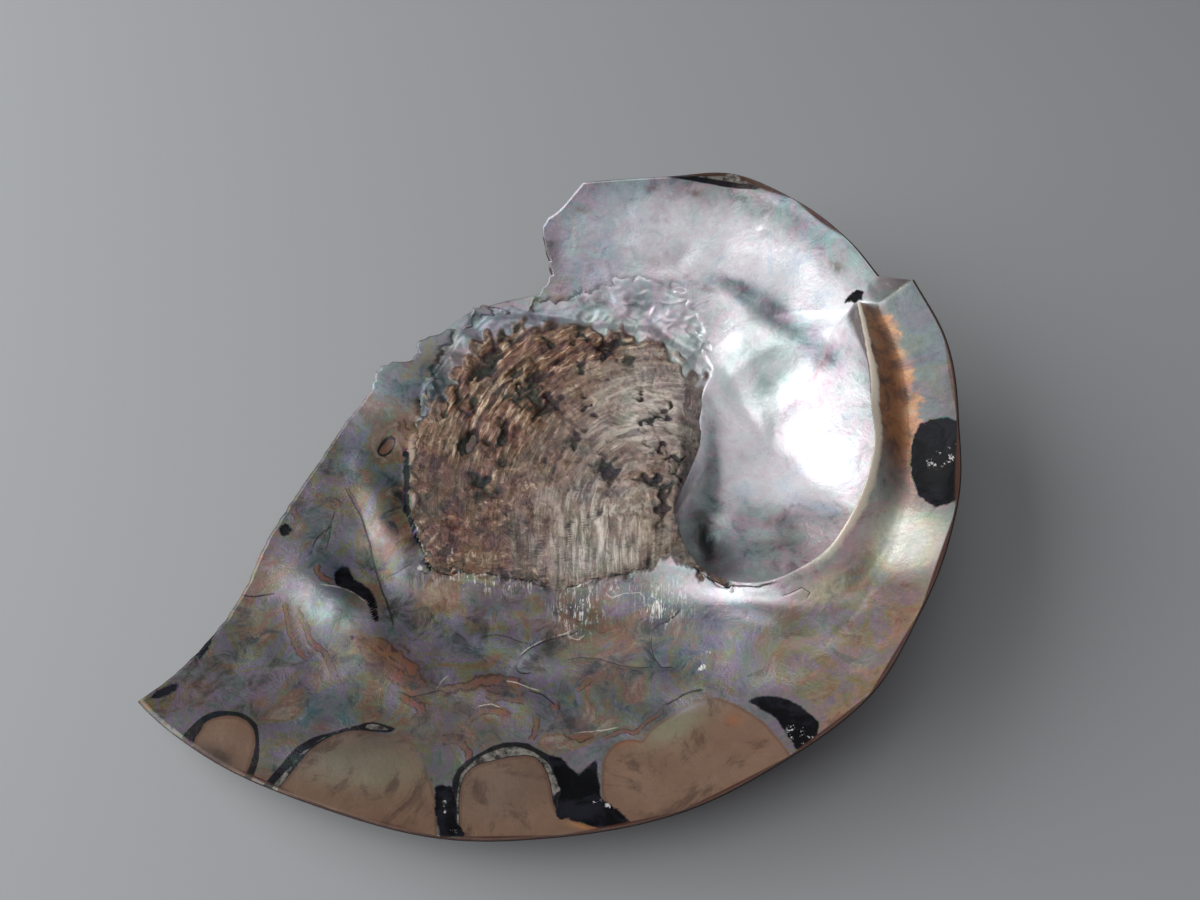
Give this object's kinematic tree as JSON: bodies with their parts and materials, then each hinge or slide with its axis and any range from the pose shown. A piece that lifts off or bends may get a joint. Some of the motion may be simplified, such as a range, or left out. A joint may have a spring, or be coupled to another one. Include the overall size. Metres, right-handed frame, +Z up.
{
  "type": "abalone shell",
  "caption": "Abalone shell lying on its back, mother-of-pearl side up, with the spire's hollow, an inner lip, a rough muscle scar and one long side broken away.",
  "frame": {"origin": "centre of the shell's bounding box, on the surface that it rests on", "axes": "+X towards the spire end, along the shell's longest side; +Z up, out of the open pearly side"},
  "size_m": [0.195, 0.1704, 0.0481],
  "materials": {
    "nacre": "iridescent grey mother-of-pearl inside, dull brick-red crust outside"
  },
  "bodies": {
    "root": {"shell": "nacre"}
  },
  "joints": []
}
